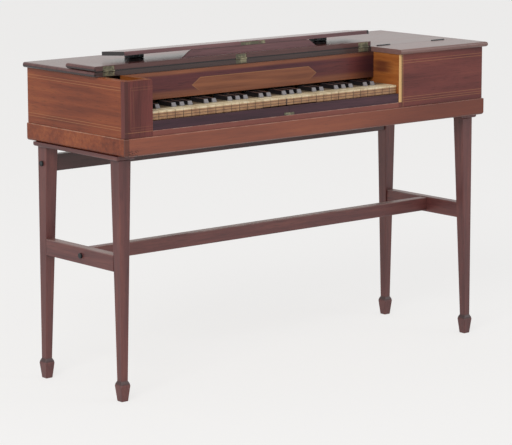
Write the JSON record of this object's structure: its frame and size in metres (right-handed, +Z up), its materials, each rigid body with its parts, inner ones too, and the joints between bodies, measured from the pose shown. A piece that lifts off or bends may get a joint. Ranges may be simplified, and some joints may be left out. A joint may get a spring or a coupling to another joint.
{
  "type": "table piano",
  "caption": "Small square piano in a shallow veneered table case with folding lid, music desk board and sprung keys, on a stand with tapered legs and stretchers.",
  "frame": {"origin": "middle of the whole object's box, on the floor", "axes": "+X from the bass to the treble, +Y from the player to the back, +Z up"},
  "size_m": [1.12, 0.3886, 0.7762],
  "materials": {
    "case_mahogany": "polished veneer with light stringing",
    "stand_mahogany": "satin polish",
    "dark_mahogany": "dark polish",
    "spruce": "bare",
    "limewood": "bare",
    "bone": "polished bone plates on lime levers",
    "ebony": "polished ebony",
    "brass": "aged",
    "iron": "blackened"
  },
  "bodies": {
    "case": {"leg_front_left": "stand_mahogany", "leg_front_right": "stand_mahogany", "leg_rear_left": "stand_mahogany", "leg_rear_right": "stand_mahogany", "cap_rail_left": "stand_mahogany", "cap_rail_right": "stand_mahogany", "side_stretcher_left": "stand_mahogany", "side_stretcher_right": "stand_mahogany", "centre_stretcher": "stand_mahogany", "rear_rail": "stand_mahogany", "bed_bolt_leg_left": "iron", "bed_bolt_leg_right": "iron", "bed_bolt_stretcher_left": "iron", "bed_bolt_stretcher_right": "iron", "base_moulding": "case_mahogany", "side_left": "case_mahogany", "side_right": "case_mahogany", "front_panel_left": "case_mahogany", "front_panel_right": "case_mahogany", "front_rail": "case_mahogany", "cheek_left": "case_mahogany", "cheek_right": "case_mahogany", "nameboard": "case_mahogany", "bottom_board": "spruce", "back_board": "spruce", "soundboard": "spruce", "key_frame": "limewood", "bridge": "limewood", "wrest_plank": "limewood", "hitch_plank": "limewood", "hammer_rail": "limewood", "lid_hinge_left": "brass", "lid_hinge_right": "brass", "key_slip": "dark_mahogany", "lock_catch": "brass"},
    "lid": {"main_lid": "case_mahogany", "flap_hinge_left": "brass", "flap_hinge_middle": "brass", "flap_hinge_right": "brass", "right_flap_hinge_left": "brass", "right_flap_hinge_right": "brass"},
    "flap": {"keyboard_flap": "case_mahogany", "lockboard_hinge_left": "iron", "lockboard_hinge_right": "iron", "music_ledge": "case_mahogany"},
    "side_flap": {"right_flap": "case_mahogany"},
    "lockboard": {"lockboard": "case_mahogany", "strike_plate": "brass"},
    "natural_15_key": {"natural_15": "bone"},
    "natural_16_key": {"natural_16": "bone"},
    "natural_17_key": {"natural_17": "bone"},
    "natural_18_key": {"natural_18": "bone"},
    "natural_19_key": {"natural_19": "bone"},
    "natural_20_key": {"natural_20": "bone"},
    "natural_21_key": {"natural_21": "bone"},
    "sharp_15_key": {"sharp_15": "ebony"},
    "sharp_16_key": {"sharp_16": "ebony"},
    "sharp_18_key": {"sharp_18": "ebony"},
    "sharp_19_key": {"sharp_19": "ebony"},
    "sharp_20_key": {"sharp_20": "ebony"}
  },
  "joints": [
    {"name": "lid_opening", "type": "hinge", "parent": "case", "child": "lid", "pos_m": [0, 0.19175, 0.725], "axis": [-1, 0, 0], "range_deg": [0, 105]},
    {"name": "flap_folding", "type": "hinge", "parent": "lid", "child": "flap", "pos_m": [0, -0.08705, 0.73745], "axis": [1, 0, 0], "range_deg": [0, 180]},
    {"name": "right_flap_folding", "type": "hinge", "parent": "lid", "child": "side_flap", "pos_m": [0, -0.08705, 0.73745], "axis": [-1, 0, 0], "range_deg": [0, 180]},
    {"name": "lockboard_raising", "type": "hinge", "parent": "flap", "child": "lockboard", "pos_m": [0, 0.00275, 0.7609], "axis": [-1, 0, 0], "range_deg": [0, 85.5]},
    {"name": "natural_15_press", "type": "hinge", "parent": "case", "child": "natural_15_key", "pos_m": [0, -0.03425, 0.633], "axis": [1, 0, 0], "range_deg": [0, 3.25], "stiffness_Nm_per_rad": 0.2, "springref_deg": -5.73},
    {"name": "natural_16_press", "type": "hinge", "parent": "case", "child": "natural_16_key", "pos_m": [0, -0.03425, 0.633], "axis": [1, 0, 0], "range_deg": [0, 3.25], "stiffness_Nm_per_rad": 0.2, "springref_deg": -5.73},
    {"name": "natural_17_press", "type": "hinge", "parent": "case", "child": "natural_17_key", "pos_m": [0, -0.03425, 0.633], "axis": [1, 0, 0], "range_deg": [0, 3.25], "stiffness_Nm_per_rad": 0.2, "springref_deg": -5.73},
    {"name": "natural_18_press", "type": "hinge", "parent": "case", "child": "natural_18_key", "pos_m": [0, -0.03425, 0.633], "axis": [1, 0, 0], "range_deg": [0, 3.25], "stiffness_Nm_per_rad": 0.2, "springref_deg": -5.73},
    {"name": "natural_19_press", "type": "hinge", "parent": "case", "child": "natural_19_key", "pos_m": [0, -0.03425, 0.633], "axis": [1, 0, 0], "range_deg": [0, 3.25], "stiffness_Nm_per_rad": 0.2, "springref_deg": -5.73},
    {"name": "natural_20_press", "type": "hinge", "parent": "case", "child": "natural_20_key", "pos_m": [0, -0.03425, 0.633], "axis": [1, 0, 0], "range_deg": [0, 3.25], "stiffness_Nm_per_rad": 0.2, "springref_deg": -5.73},
    {"name": "natural_21_press", "type": "hinge", "parent": "case", "child": "natural_21_key", "pos_m": [0, -0.03425, 0.633], "axis": [1, 0, 0], "range_deg": [0, 3.25], "stiffness_Nm_per_rad": 0.2, "springref_deg": -5.73},
    {"name": "sharp_15_press", "type": "hinge", "parent": "case", "child": "sharp_15_key", "pos_m": [0, -0.03425, 0.633], "axis": [1, 0, 0], "range_deg": [0, 3.25], "stiffness_Nm_per_rad": 0.2, "springref_deg": -5.73},
    {"name": "sharp_16_press", "type": "hinge", "parent": "case", "child": "sharp_16_key", "pos_m": [0, -0.03425, 0.633], "axis": [1, 0, 0], "range_deg": [0, 3.25], "stiffness_Nm_per_rad": 0.2, "springref_deg": -5.73},
    {"name": "sharp_18_press", "type": "hinge", "parent": "case", "child": "sharp_18_key", "pos_m": [0, -0.03425, 0.633], "axis": [1, 0, 0], "range_deg": [0, 3.25], "stiffness_Nm_per_rad": 0.2, "springref_deg": -5.73},
    {"name": "sharp_19_press", "type": "hinge", "parent": "case", "child": "sharp_19_key", "pos_m": [0, -0.03425, 0.633], "axis": [1, 0, 0], "range_deg": [0, 3.25], "stiffness_Nm_per_rad": 0.2, "springref_deg": -5.73},
    {"name": "sharp_20_press", "type": "hinge", "parent": "case", "child": "sharp_20_key", "pos_m": [0, -0.03425, 0.633], "axis": [1, 0, 0], "range_deg": [0, 3.25], "stiffness_Nm_per_rad": 0.2, "springref_deg": -5.73}
  ]
}
